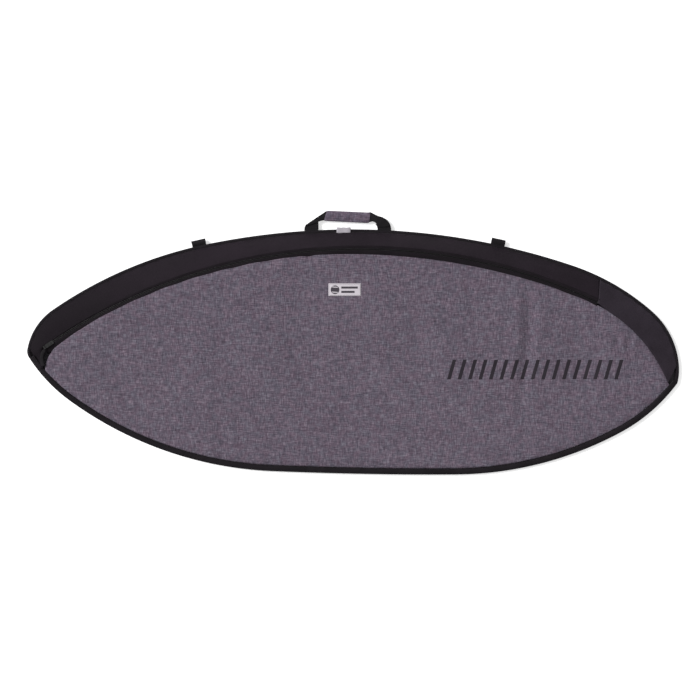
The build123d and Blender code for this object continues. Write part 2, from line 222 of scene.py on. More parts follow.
def dress(obj, material, body="bag", replaces=(), blend=False):
    obj.data.materials.clear()
    obj.data.materials.append(material)
    if blend:
        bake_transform(obj)
    else:
        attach(obj, body)
    if replaces:
        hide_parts(*replaces)
    return obj


def edge_distance(p, rail):
    return min((p - q).length for q in rail)


# ---- materials --------------------------------------------------------------------------
def node_tree(name, roughness, sheen=0.0, metallic=0.0, specular=0.3):
    mat = bpy.data.materials.new(name)
    mat.use_nodes = True
    tree = mat.node_tree
    shader = tree.nodes["Principled BSDF"]
    shader.inputs["Roughness"].default_value = roughness
    shader.inputs["Metallic"].default_value = metallic
    shader.inputs["Specular IOR Level"].default_value = specular
    if sheen:
        shader.inputs["Sheen Weight"].default_value = sheen
        shader.inputs["Sheen Roughness"].default_value = 0.4
    return mat, tree, shader


def add(tree, kind, **values):
    node = tree.nodes.new(kind)
    for key, value in values.items():
        setattr(node, key, value)
    return node


def coords(tree, scale, source="Object", turn=0.0):
    where = add(tree, "ShaderNodeTexCoord")
    mapping = add(tree, "ShaderNodeMapping")
    mapping.inputs["Scale"].default_value = scale
    mapping.inputs["Rotation"].default_value = (0, 0, turn)
    tree.links.new(where.outputs[source], mapping.inputs["Vector"])
    return mapping.outputs["Vector"]


def noise_value(tree, scale, detail=2.0, source="Object", turn=0.0, rough=0.6):
    tex = add(tree, "ShaderNodeTexNoise")
    tex.inputs["Scale"].default_value = 1.0
    tex.inputs["Detail"].default_value = detail
    tex.inputs["Roughness"].default_value = rough
    tree.links.new(coords(tree, scale, source, turn), tex.inputs["Vector"])
    return tex.outputs["Fac"]


def weave_value(tree, period_mm, source="Object"):
    """Over-and-under threads: two crossed sine bands multiplied."""
    bands = []
    for axis in ("X", "Y"):
        wave = add(tree, "ShaderNodeTexWave", wave_type="BANDS", bands_direction=axis)
        wave.inputs["Scale"].default_value = 0.314 / (period_mm * MM)
        wave.inputs["Distortion"].default_value = 0.4
        tree.links.new(coords(tree, (1, 1, 1), source), wave.inputs["Vector"])
        bands.append(wave.outputs["Fac"])
    return math_node(tree, "MAXIMUM", bands[0], bands[1])


def math_node(tree, operation, a, b, clamp=False):
    node = add(tree, "ShaderNodeMath", operation=operation, use_clamp=clamp)
    for socket, value in zip(node.inputs, (a, b)):
        if isinstance(value, (int, float)):
            socket.default_value = value
        else:
            tree.links.new(value, socket)
    return node.outputs[0]


def ramp(tree, value, stops):
    node = add(tree, "ShaderNodeValToRGB")
    elements = node.color_ramp.elements
    elements[0].position, elements[0].color = stops[0][0], (*stops[0][1], 1)
    elements[1].position, elements[1].color = stops[-1][0], (*stops[-1][1], 1)
    for position, colour in stops[1:-1]:
        elements.new(position).color = (*colour, 1)
    tree.links.new(value, node.inputs["Fac"])
    return node.outputs["Color"]


def bump(tree, shader, height, strength, distance_mm):
    node = add(tree, "ShaderNodeBump")
    node.inputs["Strength"].default_value = strength
    node.inputs["Distance"].default_value = distance_mm * MM
    tree.links.new(height, node.inputs["Height"])
    tree.links.new(node.outputs["Normal"], shader.inputs["Normal"])


def heather(name, dark, mid, light, turn=0.0):
    """Two-tone melange weave: slubs run both ways through a fine plain weave."""
    mat, tree, shader = node_tree(name, 0.85, sheen=0.04, specular=0.15)
    weft = noise_value(tree, (62, 400, 400), 3.0, turn=turn)
    warp = noise_value(tree, (420, 58, 420), 3.0, turn=turn)
    blotch = noise_value(tree, (9, 9, 9), 3.0)
    fleck = noise_value(tree, (480, 480, 480), 2.0)
    mix = math_node(tree, "ADD", math_node(tree, "MULTIPLY", weft, 0.40),
                    math_node(tree, "MULTIPLY", warp, 0.42))
    mix = math_node(tree, "ADD", mix, math_node(tree, "MULTIPLY", fleck, 0.13))
    mix = math_node(tree, "ADD", mix, math_node(tree, "MULTIPLY", blotch, 0.05))
    hue = add(tree, "ShaderNodeMix", data_type="RGBA", blend_type="MULTIPLY")
    hue.inputs["Factor"].default_value = 1.0
    tint = noise_value(tree, (60, 60, 60), 4.0)
    tree.links.new(ramp(tree, mix, [(0.35, dark), (0.5, mid), (0.65, light)]), hue.inputs["A"])
    cool, warm = (0.93, 1.0, 1.02), (1.07, 0.99, 1.03)
    tree.links.new(ramp(tree, tint, [(0.38, cool), (0.62, warm)]), hue.inputs["B"])
    tree.links.new(hue.outputs["Result"], shader.inputs["Base Color"])
    threads = math_node(tree, "ADD", weave_value(tree, 1.3), math_node(tree, "MULTIPLY", mix, 1.2))
    bump(tree, shader, threads, 0.35, 0.25)
    return mat


def black_cloth(name, base, lift, period_mm, roughness, sheen, depth_mm=0.2, source="UV", falloff=False):
    """Black woven cloth with dust and faded threads at random; its last flag paints shade that darkens the
    cloth towards the nose.
    """
    mat, tree, shader = node_tree(name, roughness, sheen=sheen, specular=0.12)
    weave = weave_value(tree, period_mm, source)
    wear = noise_value(tree, (14, 14, 14), 4.0)
    lint = noise_value(tree, (600, 260, 600), 2.0)
    tone = math_node(tree, "ADD", math_node(tree, "MULTIPLY", weave, 0.25),
                     math_node(tree, "MULTIPLY", wear, 0.4))
    tone = math_node(tree, "ADD", tone, math_node(tree, "MULTIPLY", lint, 0.35))
    if falloff:
        # Painted shade: the base colour darkens towards the nose (low X), standing in for shade that falls
        # there.
        place = add(tree, "ShaderNodeSeparateXYZ")
        tree.links.new(coords(tree, (1, 1, 1)), place.inputs[0])
        along = math_node(tree, "ADD", math_node(tree, "MULTIPLY", place.outputs["X"], 3.2), 2.55, clamp=True)
        painted_shade = math_node(tree, "MULTIPLY", math_node(tree, "SUBTRACT", along, 1.0), 0.24)
        tone = math_node(tree, "ADD", tone, painted_shade)
    tree.links.new(ramp(tree, tone, [(0.3, base), (0.75, lift)]), shader.inputs["Base Color"])
    rough = math_node(tree, "ADD", math_node(tree, "MULTIPLY", wear, 0.2), roughness - 0.1)
    tree.links.new(rough, shader.inputs["Roughness"])
    bump(tree, shader, weave, 0.5, depth_mm)
    return mat


def ribbed(name, base, lift, rib_mm, roughness, depth_mm=0.35):
    """Tape or webbing with ribs across its length, from its UV map."""
    mat, tree, shader = node_tree(name, roughness, sheen=0.03, specular=0.12)
    ribs = add(tree, "ShaderNodeTexWave", wave_type="BANDS", bands_direction="X")
    ribs.inputs["Scale"].default_value = 0.314 / (rib_mm * MM)
    ribs.inputs["Distortion"].default_value = 0.3
    tree.links.new(coords(tree, (1, 1, 1), "UV"), ribs.inputs["Vector"])
    fuzz = noise_value(tree, (500, 500, 500), 3.0)
    wear = noise_value(tree, (22, 22, 22), 3.0)
    tone = math_node(tree, "ADD", math_node(tree, "MULTIPLY", ribs.outputs["Fac"], 0.4),
                     math_node(tree, "MULTIPLY", wear, 0.6))
    tree.links.new(ramp(tree, tone, [(0.25, base), (0.85, lift)]), shader.inputs["Base Color"])
    height = math_node(tree, "ADD", ribs.outputs["Fac"], math_node(tree, "MULTIPLY", fuzz, 0.5))
    bump(tree, shader, height, 0.6, depth_mm)
    return mat


def enamel(name, base, lift):
    """Black enamelled metal, rubbed a little where it is handled."""
    mat, tree, shader = node_tree(name, 0.32, metallic=0.0, specular=0.6)
    rub = noise_value(tree, (180, 180, 180), 4.0)
    tree.links.new(ramp(tree, rub, [(0.4, base), (0.72, lift)]), shader.inputs["Base Color"])
    tree.links.new(math_node(tree, "ADD", math_node(tree, "MULTIPLY", rub, 0.25), 0.2),
                   shader.inputs["Roughness"])
    shader.inputs["Coat Weight"].default_value = 0.4
    bump(tree, shader, rub, 0.15, 0.1)
    return mat


def nylon(name, base, lift):
    mat, tree, shader = node_tree(name, 0.42, specular=0.3)
    mark = noise_value(tree, (900, 900, 900), 2.0)
    tree.links.new(ramp(tree, mark, [(0.35, base), (0.7, lift)]), shader.inputs["Base Color"])
    bump(tree, shader, mark, 0.2, 0.08)
    return mat


MELANGE_DARK, MELANGE_MID = (0.046, 0.036, 0.050), (0.108, 0.087, 0.113)
HEATHER = heather("heather_grey", MELANGE_DARK, MELANGE_MID, (0.225, 0.195, 0.232))
GRIP_HEATHER = heather("heather_grip", MELANGE_DARK, (0.108, 0.086, 0.115), (0.22, 0.19, 0.23), turn=0.05)
# The woven gusset carries painted shade, darker towards the nose.
WOVEN_BLACK = black_cloth("woven_black", (0.0056, 0.0034, 0.0056), (0.019, 0.0130, 0.019),
                          1.5, 0.75, 0.02, falloff=True)
PLAIN_BLACK = black_cloth("plain_black", (0.0110, 0.0080, 0.0115), (0.033, 0.0255, 0.035),
                          0.8, 0.50, 0.0, 0.08)
BINDING = ribbed("binding_tape", (0.0050, 0.0038, 0.0052), (0.018, 0.0145, 0.0185), 1.2, 0.78)
WEBBING = ribbed("webbing", (0.0060, 0.0052, 0.0060), (0.020, 0.0175, 0.0205), 1.6, 0.72, 0.45)
ZIP_TAPE = ribbed("zip_tape", (0.0048, 0.0033, 0.0048), (0.0165, 0.0125, 0.0165), 0.9, 0.85, 0.15)
COIL = nylon("zip_coil", (0.0036, 0.0027, 0.0036), (0.0125, 0.0098, 0.0125))
ENAMEL = enamel("black_enamel", (0.0022, 0.0020, 0.0024), (0.0085, 0.0078, 0.0090))
LINING = black_cloth("lining_cloth", (0.030, 0.028, 0.033), (0.075, 0.070, 0.08),
                     0.7, 0.55, 0.05, 0.06, "Object")
TAG_CLOTH = ribbed("tag_cloth", (0.30, 0.28, 0.31), (0.50, 0.47, 0.51), 1.0, 0.75, 0.2)
LABEL_CLOTH = black_cloth("label_satin", (0.46, 0.42, 0.46), (0.66, 0.62, 0.66),
                          0.5, 0.6, 0.05, 0.06, "Object")
LABEL_DARK = black_cloth("label_thread", (0.030, 0.026, 0.034), (0.075, 0.065, 0.08),
                         0.5, 0.6, 0.05, 0.06, "Object")
INK = black_cloth("print_ink", (0.013, 0.010, 0.014), (0.034, 0.028, 0.036),
                  1.3, 0.65, 0.0, 0.12, "Object")
THREAD = nylon("black_thread", (0.010, 0.008, 0.0105), (0.036, 0.031, 0.037))
PALE_THREAD = nylon("grey_thread", (0.045, 0.040, 0.048), (0.095, 0.085, 0.10))


# ---- face panel -------------------------------------------------------------------------
def near_line(p, a, b):
    """Distance from p to segment ab, and how far along it the nearest point is."""
    ab = b - a
    t = max(0.0, min(1.0, (p - a).dot(ab) / ab.length_squared))
    return (p - (a + ab * t)).length, t


def crease(p, path, width, depth):
    """Soft valley along a polyline with a low ridge either side."""
    best, along, total = 1e9, 0.0, len(path) - 1
    for k, (a, b) in enumerate(zip(path, path[1:])):
        d, t = near_line(p, a, b)
        if d < best:
            best, along = d, (k + t) / total
    if best > width * 4:
        return 0.0
    falloff = math.sin(math.pi * min(1.0, max(0.0, along * 0.94 + 0.03)))
    x = best / width
    return depth * falloff * (-math.exp(-x * x) + 0.45 * math.exp(-(x - 1.9) ** 2))


# Path of each crease, how wide it is and how deep, mm.
CREASES = [
    ([(438, 196), (452, 120), (449, 46), (441, -50), (430, -160)], 15, 4.6),
    ([(284, 196), (304, 128)], 12, 2.6),
    ([(717, 60), (703, 1)], 8, 3.2),
    ([(684, 48), (668, 8)], 8, 2.0),
    ([(640, -120), (668, -70)], 12, 1.8),
    ([(340, -258), (378, -290)], 10, 2.8),
    ([(-172, 420), (-113, 244), (-104, 215)], 12, 2.4),
    ([(-420, 40), (-300, -60), (-235, -190)], 60, 2.4),
    ([(-520, 90), (-470, -40), (-455, -150)], 48, 2.0),
    ([(-120, 210), (-150, 40), (-130, -160)], 55, 2.2),
    ([(120, 225), (160, 60), (150, -120)], 52, 2.4),
    ([(205, 130), (262, 60)], 22, 2.2),
    ([(560, 120), (590, 0), (560, -130)], 40, 2.0),
    ([(-660, 10), (-600, -60), (-560, -130)], 34, 1.8),
    ([(-10, -180), (60, -262)], 26, 2.2),
    ([(-240, -150), (-170, -258)], 30, 2.0),
    ([(150, -205), (196, -268)], 18, 2.2),
    ([(-360, -150), (-330, -218)], 20, 1.9),
]
CREASES = [([Vector(p) for p in path], w, d) for path, w, d in CREASES]


def pucker(s, d, pitch, depth, reach):
    """Gathers along a seam: s runs along it, d is the distance in from it."""
    wobble = noise.noise(Vector((s / (pitch * 2.3), 3.1, 0.7))) * 2.6
    return depth * math.exp(-d / reach) * math.sin(2 * math.pi * s / pitch + wobble)


# The face panel's rounded corner at the nose, then its two long edges.
NOSE_ROUND = [Vector(p) for p in ((-791.5, -50), (-790, -38), (-787, -25), (-782, -13), (-775, -1),
                                  (-766, 10.5))]
TOP_RAIL = resample(NOSE_ROUND + [p for p in face_top() if p.x > -756], 320)
LOW_RAIL = resample([NOSE_ROUND[0]] + [p for p in low_edge(BIND_LOW + 0.2, 0, 2.3) if p.x > -786], 320)


PANEL_ACROSS = 126                              # the same on both skins, so they bend alike
LINING_DROP = 4.9                               # foam between face and lining


def soft_height(p, d_top, d_low, s):
    """What the padded cloth adds to the dome at p, mm."""
    z = 0.0
    for path, width, depth in CREASES:
        z += crease(p, path, width, depth)
    drift = Vector((p.x / 210, p.y / 260, 0.0))
    z += 1.6 * noise.noise(drift) + 0.8 * noise.noise(drift * 3.7 + Vector((5, 2, 0)))
    z += pucker(s, d_low, 62, 1.7, 20) + pucker(s + 900, d_top, 84, 0.9, 17)
    rise = 1 - math.exp(-min(d_top, d_low) / 14)
    return z * (0.25 + 0.75 * rise) - 3.4 * math.exp(-d_low / 9) - 2.0 * math.exp(-d_top / 7)


def panel_rows(n_across, drop=0.0, pull_in=0.0):
    rows, length = [], 0.0
    for i in range(len(TOP_RAIL)):
        a, b = LOW_RAIL[i], TOP_RAIL[i]
        if i:
            length += (b - TOP_RAIL[i - 1]).length
        width = (b - a).length
        margin = min(0.3, pull_in / max(width, 1.0))
        row = []
        for j in range(n_across + 1):
            t = j / n_across
            t = margin + t * (1 - 2 * margin)
            p = a.lerp(b, t)
            tip = min(1.0, i / 8, (len(TOP_RAIL) - 1 - i) / 8)
            d_low = max(0.0, t * width)
            d_top = max(0.0, (1 - t) * width)
            z = dome(p.x, p.y) + soft_height(p, d_top, d_low, length) * (0.5 + 0.5 * tip) - drop
            row.append(Vector((p.x, p.y, z)))
        rows.append(row)
    return rows


def face_panel():
    """One continuous padded panel: its skin turns down round the padding at every edge."""
    rows = panel_rows(PANEL_ACROSS)
    for row in rows:
        low_side = row[0] + Vector((0, 1.2, -3.6))
        top_side = row[-1] + Vector((0, -1.2, -3.8))
        row.insert(0, low_side)
        row.append(top_side)
    obj = grid("face_panel", rows)
    return dress(obj, HEATHER, blend=True,
                 replaces=("front_outer", "flap_outer", "front_foam", "flap_foam"))


def face_lining():
    rows = [row[::-1] for row in panel_rows(PANEL_ACROSS, drop=LINING_DROP, pull_in=1.5)]
    return dress(grid("face_lining", rows), LINING, blend=True,
                 replaces=("front_lining", "flap_lining"))


# ---- back panel -------------------------------------------------------------------------
def plate_rows(top, low, n, height):
    tops, lows = resample(top_edge(top), 160), resample(low_edge(low), 160)
    rows = []
    for a, b in zip(lows, tops):
        width = (b - a).length
        row = []
        for j in range(n + 1):
            p = a.lerp(b, j / n)
            d = min(j, n - j) / n * width
            row.append(Vector((p.x, p.y, height(p, d))))
        rows.append(row)
    return rows


def back_panel():
    """Flat where it lies on the floor, its edge lifting a little into the binding."""
    def height(p, d):
        return 0.15 + 1.6 * math.exp(-d / 5)
    obj = grid("back_panel", [row[::-1] for row in plate_rows(6.0, 6.0, 30, height)])
    return dress(thicken(obj, 0.5), PLAIN_BLACK, replaces=("back_outer", "back_foam"))


def back_lining():
    def height(p, d):
        quilt = noise.noise(Vector((p.x / 120, p.y / 120, 4.0)))
        return 5.0 + 0.5 * quilt * (1 - math.exp(-d / 30))
    obj = grid("inner_lining", plate_rows(3.0, 3.0, 44, height))
    return dress(thicken(obj, 0.3), LINING, replaces=("back_lining",))


# ---- bindings ---------------------------------------------------------------------------
def tape_profile(width, height, thick=0.9):
    """Outline of the folded tape in section: (inwards, up), mm."""
    outer = [(width, height - 0.1), (width * 0.55, height + 0.35), (2.2, height - 0.2), (0.5, height - 1.6),
             (-0.1, height * 0.62), (-0.1, height * 0.35), (0.5, 1.5), (2.0, 0.35), (9.2, 0.06)]
    return outer


def binding(name, rail, width, height, lip, material, node, flip):
    """Folded tape swept round an edge, its front lip lying on whatever it covers."""
    rows, length = [], 0.0
    profile = tape_profile(width, height)
    for k, p in enumerate(rail):
        a, b = rail[max(0, k - 1)], rail[min(len(rail) - 1, k + 1)]
        t = (b - a).normalized()
        inward = Vector((t.y, -t.x)) * flip
        length += (p - a).length if k else 0.0
        ripple = 0.35 * noise.noise(Vector((length / 14, flip * 7.0, 0)))
        gather = 0.3 * math.sin(length / 4.6 + 2.0 * noise.noise(Vector((length / 40, 1.0, 0))))
        row = []
        for i, (n, z) in enumerate(profile):
            q = p + inward * (n + (ripple * 1.4 if i == 0 else 0.0))
            up = z
            if i == 0:
                up = lip(q, z) + gather
            elif i == 1:
                up = (lip(q, z) + z) / 2 + 0.6 + ripple
            row.append(Vector((q.x, q.y, max(0.03, up))))
        rows.append(row if flip > 0 else row[::-1])
    obj = grid(name, rows)
    thicken(obj, 0.8)
    return dress(obj, material, replaces=(node,))


def low_lip(q, z):
    return max(z - 2.5, dome(q.x, q.y) - 1.2)


def flat_lip(q, z):
    return z


# ---- gusset -----------------------------------------------------------------------------
def gusset_rails(n):
    """Matching points along the zip side and the top edge, nose to tail."""
    hook = [Vector((-797.3, -20)), Vector((-797.8, -9)), Vector((-798, 3))]
    inner = [Vector((p.x, p.y, dome(p.x, p.y) - 1.6)) for p in hook]
    steps = 120
    for k in range(steps + 1):
        inner.append(zip_point(ZIP_TO + (ZIP_FROM - ZIP_TO) * k / steps, 3.8, -0.45))
    rim = [Vector((p.x, p.y, BIND_TOP_H - 0.2)) for p in top_edge(BIND_TOP - 1.5)]
    low = low_edge(BIND_LOW - 1.5)
    rim = [Vector((p.x, p.y, BIND_TOP_H - 0.4)) for p in (low[8], low[5], low[2])] + rim
    rim = [p for p in rim if p.x < 0 or p.x < TAIL_CUT_X + 3]
    return resample(inner, n), resample(rim, n)


def band(name, inner, outer, n_across, puff, seam_s, flare=0.0):
    rows, length = [], 0.0
    for i, (a, b) in enumerate(zip(inner, outer)):
        if i:
            length += (b - outer[i - 1]).length
        width = (b - a).length
        out_dir = (b - a).normalized()
        up = Vector((0, 0, 1))
        row = []
        for j in range(n_across + 1):
            t = j / n_across
            p = a.lerp(b, t)
            bulge = puff * math.sin(math.pi * t) ** 0.8
            d_in, d_out = t * width, (1 - t) * width
            bulge += pucker(length + seam_s, d_out, 34, 0.7, 11) + pucker(length, d_in, 47, 0.45, 9)
            bulge += 1.1 * noise.noise(Vector((length / 90, t * 1.6, seam_s))) * math.sin(math.pi * t)
            row.append(p + up * bulge)
        rows.append(row[::-1])
    return grid(name, rows)


def gusset_zip_band():
    inner, outer = gusset_rails(340)
    obj = band("gusset_woven_band", inner, outer, 16, 2.6, 5.0)
    thicken(obj, 0.7)
    return dress(obj, WOVEN_BLACK, replaces=("gusset_zip_section",))


def gusset_tail_band():
    """Smoother cloth round the tail; its open end lies over the end of the zip."""
    face = [p for p in face_top(1.0) if p.x > TAIL_CUT_X - 6]
    rim = [p for p in top_edge(BIND_TOP - 1.5) if p.x > TAIL_CUT_X - 2]
    inner = [Vector((p.x, p.y, dome(p.x, p.y) + 0.2)) for p in resample(face, 90)]
    outer = [Vector((p.x, p.y, BIND_TOP_H + 0.6)) for p in resample(rim, 90)]
    for k in range(14):
        lift = (1 - k / 14) ** 2
        inner[k] = inner[k] + Vector((-3.0 * lift, 7.0 * lift, 3.4 * lift))
        outer[k] = outer[k] + Vector((0, 0, 1.0 * lift))
    obj = band("gusset_tail_band", inner, outer, 16, 2.2, 11.0)
    thicken(obj, 0.6)
    return dress(obj, PLAIN_BLACK, replaces=("gusset_tail_section",))


# ---- zip --------------------------------------------------------------------------------
def zip_tape(name, r_from, r_to, replaces, blend):
    rows = []
    for k in range(361):
        a = ZIP_TO + (ZIP_FROM - ZIP_TO) * k / 360
        row = []
        for j in range(5):
            r = r_from + (r_to - r_from) * j / 4
            p = zip_point(a, r, -0.75)
            dip = 0.24 * max(0.0, -r - 4)
            row.append(Vector((p.x, p.y, dome(p.x, p.y) - 0.9 - dip if r < 0 else p.z)))
        rows.append(row if r_from > r_to else row[::-1])
    obj = thicken(grid(name, rows), 0.5)
    return dress(obj, ZIP_TAPE, replaces=replaces, blend=blend)


def coil_row(name, side, replaces, blend):
    """One row of the coil: every turn a small hump-backed loop reaching to the middle."""
    pitch, verts, faces = 2.1, [], []
    count = int((ZIP_TO - ZIP_FROM) / ZIP_ARC / pitch)
    section = [(0.15, -0.7), (0.15, 0.0), (0.75, 0.55), (2.2, 0.62), (2.9, 0.1), (2.9, -0.7)]
    for k in range(count):
        base = len(verts)
        a = ZIP_FROM + (k * pitch + (pitch / 2 if side > 0 else 0) + 0.6) * ZIP_ARC
        for s in (-0.72, -0.4, 0.4, 0.72):
            tuck = 0.22 if abs(s) > 0.5 else 0.0
            for r, w in section:
                verts.append(zip_point(a + s * ZIP_ARC, side * (r + tuck), w - 0.35 - tuck))
        m = len(section)
        for i in range(3):
            for j in range(m - 1):
                q = (base + i * m + j, base + (i + 1) * m + j,
                     base + (i + 1) * m + j + 1, base + i * m + j + 1)
                faces.append(q if side < 0 else q[::-1])
        faces.append(tuple(base + j for j in range(m))[::side])
        faces.append(tuple(base + 3 * m + j for j in range(m))[::-side])
    obj = solid(name, verts, faces, smooth=True)
    return dress(obj, COIL, replaces=replaces, blend=blend)


def nose_return():
    """Where the zip curls round the nose and is sewn down."""
    steps = 26
    marks = ((-789, 9), (-795, -4), (-798, -19), (-800, -32), (-800.5, -43))
    path = resample([Vector(p) for p in marks], steps)
    rows = []
    for k, p in enumerate(path):
        t = (path[min(steps, k + 1)] - path[max(0, k - 1)]).normalized()
        side = Vector((t.y, -t.x))
        row = []
        for n in (-4.5, -3, -1.2, 0, 1.2, 3, 4.5):
            q = p + side * n
            hump = 1.1 * max(0.0, 1 - abs(n) / 2.4)
            row.append(Vector((q.x, q.y, dome(q.x, q.y) - 0.3 + hump)))
        rows.append(row)
    obj = thicken(grid("zip_nose_curl", rows), 0.5)
    return dress(obj, ZIP_TAPE, replaces=("zip_nose_return",))


# ---- stitches ---------------------------------------------------------------------------
def stitches(name, path, pitch, length, radius, material, body="bag", blend=False):
    """Row of short rounded stitches sitting on a line of 3-D points."""
    total = sum((b - a).length for a, b in zip(path, path[1:]))
    points = resample(path, max(2, int(total / pitch)))
    verts, faces = [], []
    for k in range(len(points) - 1):
        a, b = points[k], points[k + 1]
        t = (b - a).normalized()
        side = t.cross(Vector((0, 0, 1))).normalized()
        up = side.cross(t)
        mid = (a + b) / 2
        base = len(verts)
        for s, fat in ((-0.5, 0.35), (-0.25, 1.0), (0.25, 1.0), (0.5, 0.35)):
            c = mid + t * (s * length)
            for q in range(5):
                w = 2 * math.pi * q / 5
                verts.append(c + (side * math.cos(w) + up * math.sin(w)) * radius * fat)
        for i in range(3):
            for q in range(5):
                e = (q + 1) % 5
                faces.append((base + i * 5 + q, base + i * 5 + e, base + i * 5 + 5 + e, base + i * 5 + 5 + q))
        faces.append(tuple(base + q for q in range(5))[::-1])
        faces.append(tuple(base + 15 + q for q in range(5)))
    obj = solid(name, verts, faces, smooth=True)
    return dress(obj, material, body=body, blend=blend)


def all_stitches():
    inner, outer = gusset_rails(300)

    def on_band(t, lift):
        return [a.lerp(b, t) + Vector((0, 0, 2.6 * math.sin(math.pi * t) ** 0.8 + lift))
                for a, b in zip(inner, outer)]

    stitches("stitch_zip_gusset", on_band(0.07, 0.35), 3.4, 2.5, 0.32, THREAD)
    top = [Vector((p.x, p.y, BIND_TOP_H + 0.45)) for p in resample(top_edge(BIND_TOP - 1.6), 400)]
    stitches("stitch_binding_top", top, 3.6, 2.6, 0.34, THREAD)
    low = []
    for p in resample(low_edge(BIND_LOW - 1.8), 400):
        low.append(Vector((p.x, p.y, max(BIND_LOW_H - 2.5, dome(p.x, p.y) - 1.2) + 0.75)))
    stitches("stitch_binding_low", low, 3.6, 2.6, 0.34, THREAD)
    edge = []
    for p in resample(face_top(4.0), 400):
        edge.append(Vector((p.x, p.y, dome(p.x, p.y) - 2.0 * math.exp(-4 / 7) + 0.05)))
    stitches("stitch_face_edge", edge, 3.4, 2.5, 0.3, PALE_THREAD, blend=True)


# ---- label, printed bars, tag -----------------------------------------------------------
def surface_z(x, y):
    """Height of the face panel's skin away from its seams."""
    p = Vector((x, y))
    d_top = edge_distance(p, TOP_RAIL[::4])
    d_low = edge_distance(p, LOW_RAIL[::4])
    return dome(x, y) + soft_height(p, d_top, d_low, 0.0)


def patch(name, corners, nx, ny, lift, puff=0.0):
    """Four-sided patch lying on the face panel, its corners in order round it."""
    a, b, c, d = [Vector(p) for p in corners]
    rows = []
    for i in range(nx + 1):
        row = []
        for j in range(ny + 1):
            u, v = i / nx, j / ny
            p = a.lerp(b, u).lerp(d.lerp(c, u), v)
            edge = min(u, 1 - u) * nx * min(v, 1 - v) * ny
            row.append(Vector((p.x, p.y, surface_z(p.x, p.y) + lift + puff * min(1.0, edge))))
        rows.append(row)
    return grid(name, rows)


def label():
    """White woven label; a plain disc with two waves and two bars stand in for the mark."""
    x0, x1, y0, y1 = -62.5, 20.5, 143.0, 175.0
    base = patch("front_label_cloth", [(x0, y0), (x1, y0), (x1, y1), (x0, y1)], 26, 12, 0.45, 0.35)
    thicken(base, 0.5)
    dress(base, LABEL_CLOTH, body="front_flap", replaces=("front_label",))
    verts = []
    cx, cy, r = -46.0, 159.0, 11.0
    ring = 28
    for k in range(ring):
        w = 2 * math.pi * k / ring
        x, y = cx + r * math.cos(w), cy + r * math.sin(w)
        verts.append((x, y, surface_z(x, y) + 1.12))
    verts.append((cx, cy, surface_z(cx, cy) + 1.25))
    faces = [(k, (k + 1) % ring, ring) for k in range(ring)]
    disc = solid("front_label_disc", verts, faces, smooth=True)
    dress(disc, LABEL_DARK, body="front_flap")
    for k in range(2):
        y = 152.5 + 13 * k
        wave = patch(f"front_label_wave_{k + 1}", [(cx - 7, y - 1.4 + 0.8), (cx + 7, y - 1.4),
                     (cx + 7, y + 0.6), (cx - 7, y + 1.8)], 8, 2, 1.42)
        dress(wave, LABEL_CLOTH, body="front_flap")
    for k, (xa, xb) in enumerate(((-30, 12), (-30, 4))):
        y = 164.5 - 11 * k
        bar = patch(f"front_label_bar_{k + 1}", [(xa, y - 2.6), (xb, y - 2.6), (xb, y + 2.6), (xa, y + 2.6)],
                    14, 3, 1.12)
        dress(bar, LABEL_DARK, body="front_flap")
    inset = 2.0
    ring_pts = [(x0 + inset, y0 + inset), (x1 - inset, y0 + inset), (x1 - inset, y1 - inset),
                (x0 + inset, y1 - inset), (x0 + inset, y0 + inset)]
    path = []
    for (xa, ya), (xb, yb) in zip(ring_pts, ring_pts[1:]):
        for k in range(10):
            x, y = xa + (xb - xa) * k / 10, ya + (yb - ya) * k / 10
            path.append(Vector((x, y, surface_z(x, y) + 1.1)))
    stitches("stitch_label", path + path[:1], 2.6, 1.9, 0.22, PALE_THREAD, body="front_flap")


def printed_bars():
    """Row of slanted bars printed on the cloth in place of the mark."""
    for k in range(17):
        x = 250 + k * 26.8
        corners = [(x - 9, -70), (x, -70), (x + 14, -20), (x + 5, -20)]
        bar = patch(f"print_bar_{k + 1:02d}", corners, 3, 12, 0.22)
        dress(bar, INK)
    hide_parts("front_graphic")


def seam_tag():
    """Folded tape tag caught in the top seam."""
    rows = []
    for i in range(13):
        x = -42 + 3 * i
        sag = 0.4 * math.sin(i * 0.8)
        row = []
        for y, z in ((304.5, 13.6), (309, 13.5), (314, 13.3), (317.5, 12.6), (319.3, 11.2), (319.5, 9.6),
                     (318.6, 8.6), (316.2, 8.2)):
            row.append(Vector((x, y + 0.4 * math.sin(i * 1.3), z + sag)))
        rows.append(row)
    obj = thicken(grid("seam_tag_tape", rows), 0.7, 1.0)
    return dress(obj, TAG_CLOTH, replaces=("seam_tag",))


# ---- webbing ----------------------------------------------------------------------------
WEB_W, LOOP_W = 38.0, 36.0                      # handle webbing and strap loops
SEAM_WEB_Y = (303, 311, 318.6)                  # where the handle's webbing passes the seam


def web_between(name, outer, inner, heights, thick=1.8):
    """Flat webbing whose two edges and height are given station by station."""
    n = 26
    a = resample([Vector((x, y, z)) for (x, y), z in zip(outer, heights)], n)
    b = resample([Vector((x, y, z)) for (x, y), z in zip(inner, heights)], n)
    rows = []
    for i, (p, q) in enumerate(zip(a, b)):
        row = []
        for j in range(11):
            t = j / 10
            curl = 0.35 * math.cos(math.pi * (t - 0.5)) + 0.12 * math.sin(i * 0.9 + j * 0.5)
            row.append(p.lerp(q, t) + Vector((0, 0, curl)))
        rows.append(row[::-1])
    obj = thicken(grid(name, rows), thick, 0.0)
    bevel = obj.modifiers.new("edge", "BEVEL")
    bevel.width, bevel.segments, bevel.angle_limit = 0.35 * MM, 2, math.radians(50)
    return obj


